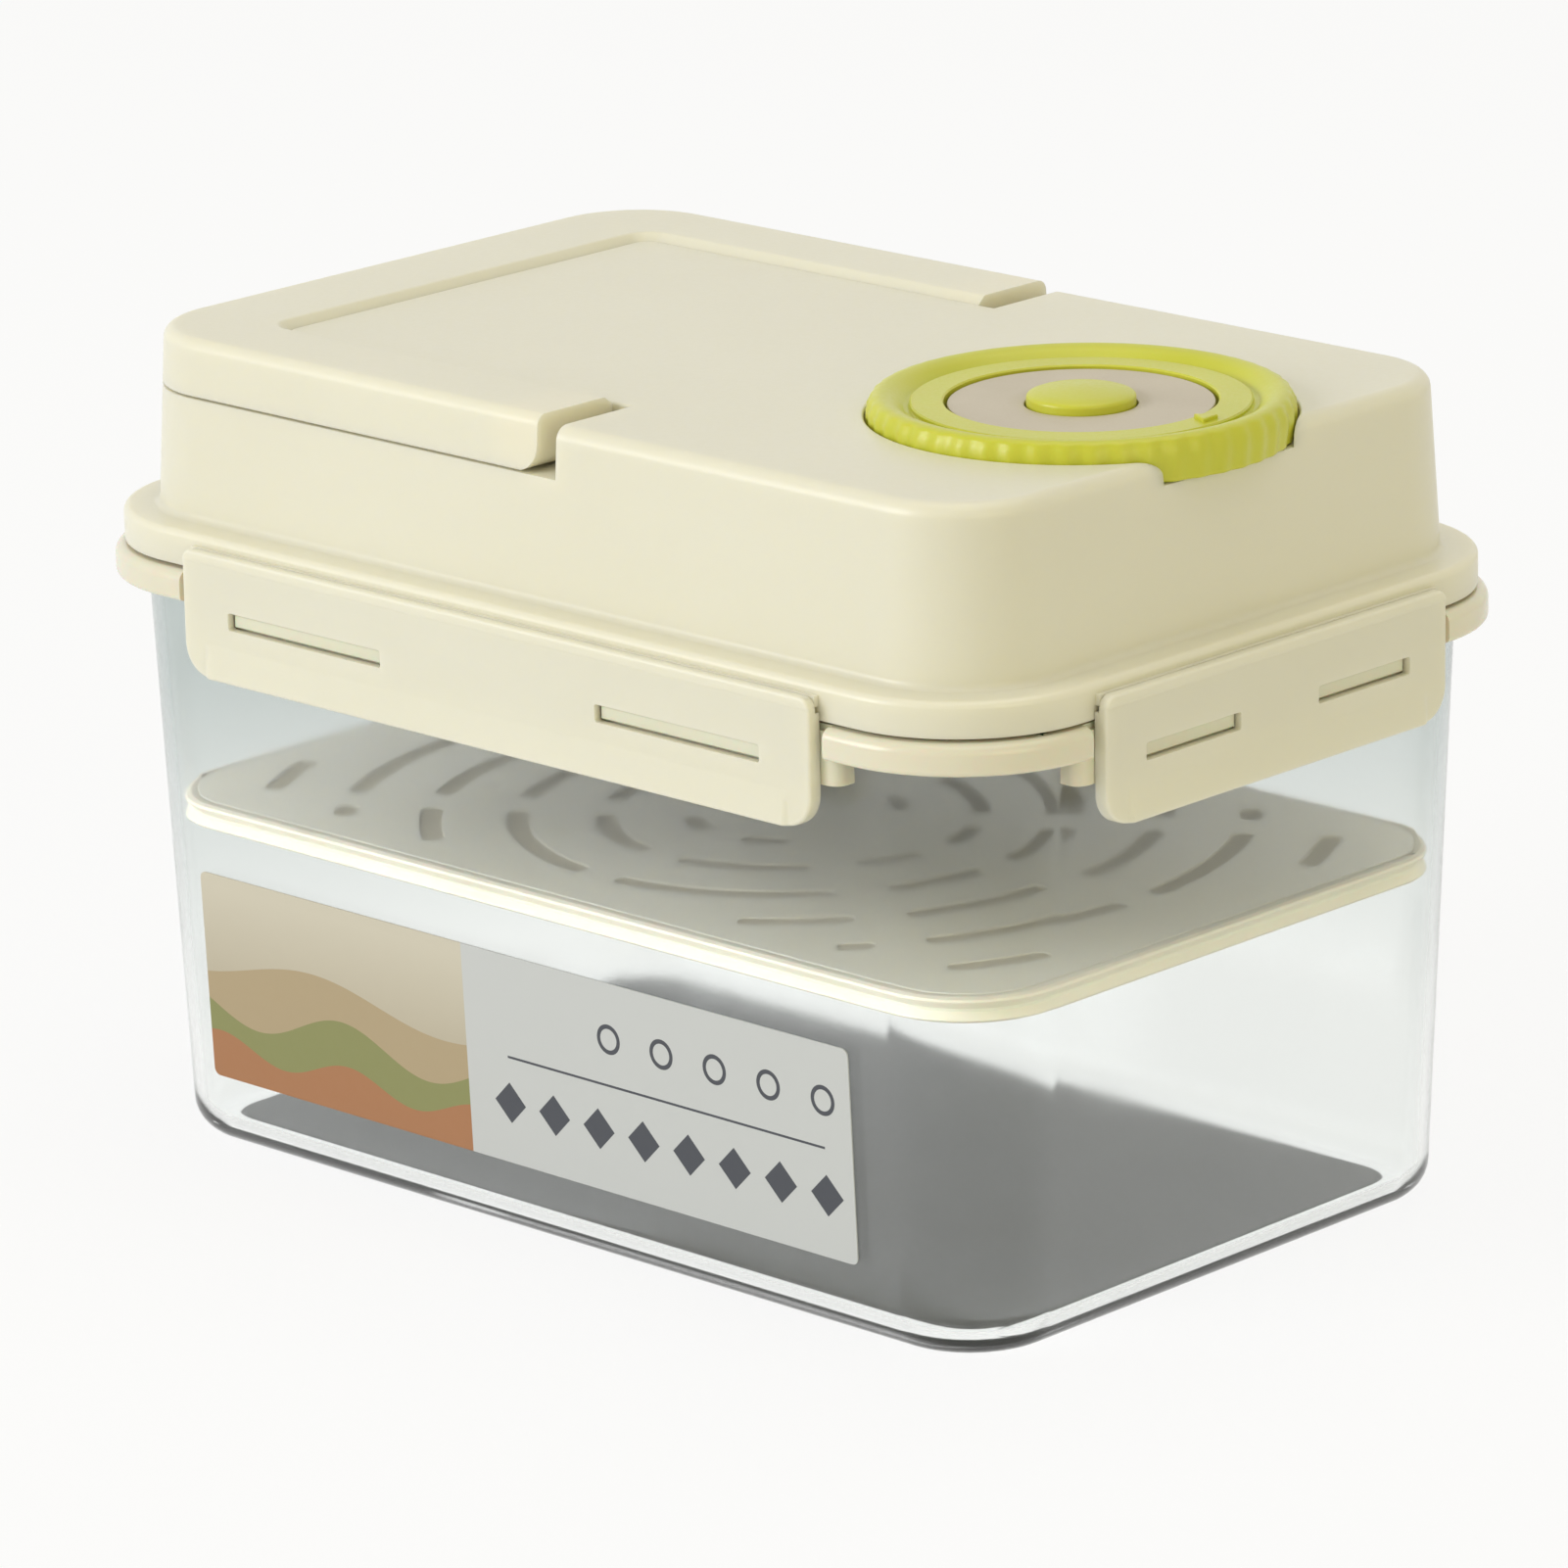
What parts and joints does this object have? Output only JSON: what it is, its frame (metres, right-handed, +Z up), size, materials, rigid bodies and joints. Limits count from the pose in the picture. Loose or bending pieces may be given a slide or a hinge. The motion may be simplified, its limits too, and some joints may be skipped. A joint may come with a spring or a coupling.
{
  "type": "pickle container",
  "caption": "Rectangular food keeper with a clear tapered box, a domed lid with snap latches, a folding carry handle, a date dial with a vent valve, and a perforated press plate inside.",
  "frame": {"origin": "centre of the base, on the surface that it stands on", "axes": "+X along the length, towards the dial; +Y to the back; +Z up, along the way the lid lifts off"},
  "size_m": [0.2522, 0.1704, 0.1696],
  "materials": {
    "clear_plastic": "clear polypropylene, slightly hazy",
    "cream_plastic": "satin",
    "green_plastic": "satin",
    "grey_plastic": "fine matte",
    "white_plastic": "matte",
    "silicone": "soft, satin",
    "cream_silicone": "soft, satin",
    "spring_steel": "drawn wire",
    "label_film": "satin film"
  },
  "bodies": {
    "box": {"container_box": "clear_plastic", "front_label": "label_film"},
    "lid": {"lid_shell": "cream_plastic", "lid_gasket": "silicone", "date_disc": "grey_plastic", "valve_seat": "white_plastic", "button_spring": "spring_steel"},
    "front_latch": {"latch_front": "cream_plastic"},
    "back_latch": {"latch_back": "cream_plastic"},
    "right_latch": {"latch_right": "cream_plastic"},
    "left_latch": {"latch_left": "cream_plastic"},
    "handle": {"carry_handle": "cream_plastic"},
    "dial": {"dial_ring": "green_plastic"},
    "button": {"vent_button": "green_plastic", "valve_seal": "silicone", "stem_retainer": "white_plastic"},
    "plate": {"press_plate": "cream_plastic", "plate_wiper": "cream_silicone"}
  },
  "joints": [
    {"name": "lid_lift", "type": "slide", "parent": "box", "child": "lid", "axis": [0, 0, 1], "range_m": [0, 0.12]},
    {"name": "front_latch_hinge", "type": "hinge", "parent": "lid", "child": "front_latch", "pos_m": [0, -0.08335, 0.12735], "axis": [-1, 0, 0], "range_deg": [0, 150]},
    {"name": "back_latch_hinge", "type": "hinge", "parent": "lid", "child": "back_latch", "pos_m": [0, 0.08335, 0.12735], "axis": [1, 0, 0], "range_deg": [0, 150]},
    {"name": "right_latch_hinge", "type": "hinge", "parent": "lid", "child": "right_latch", "pos_m": [0.12435, 0, 0.12735], "axis": [0, -1, 0], "range_deg": [0, 150]},
    {"name": "left_latch_hinge", "type": "hinge", "parent": "lid", "child": "left_latch", "pos_m": [-0.12435, 0, 0.12735], "axis": [0, 1, 0], "range_deg": [0, 150]},
    {"name": "handle_swing", "type": "hinge", "parent": "lid", "child": "handle", "pos_m": [-0.0025, 0, 0.1607], "axis": [0, 1, 0], "range_deg": [0, 90]},
    {"name": "dial_turn", "type": "hinge", "parent": "lid", "child": "dial", "pos_m": [0.0763, 0, 0.16], "axis": [0, 0, 1], "continuous": true},
    {"name": "button_press", "type": "slide", "parent": "lid", "child": "button", "axis": [0, 0, -1], "range_m": [0, 0.0025], "stiffness_N_per_m": 600, "springref_m": -0.001, "deforming": ["button_spring"]},
    {"name": "plate_slide", "type": "slide", "parent": "box", "child": "plate", "axis": [0, 0, 1], "range_m": [-0.06, 0.046], "deforming": ["plate_wiper"]}
  ]
}
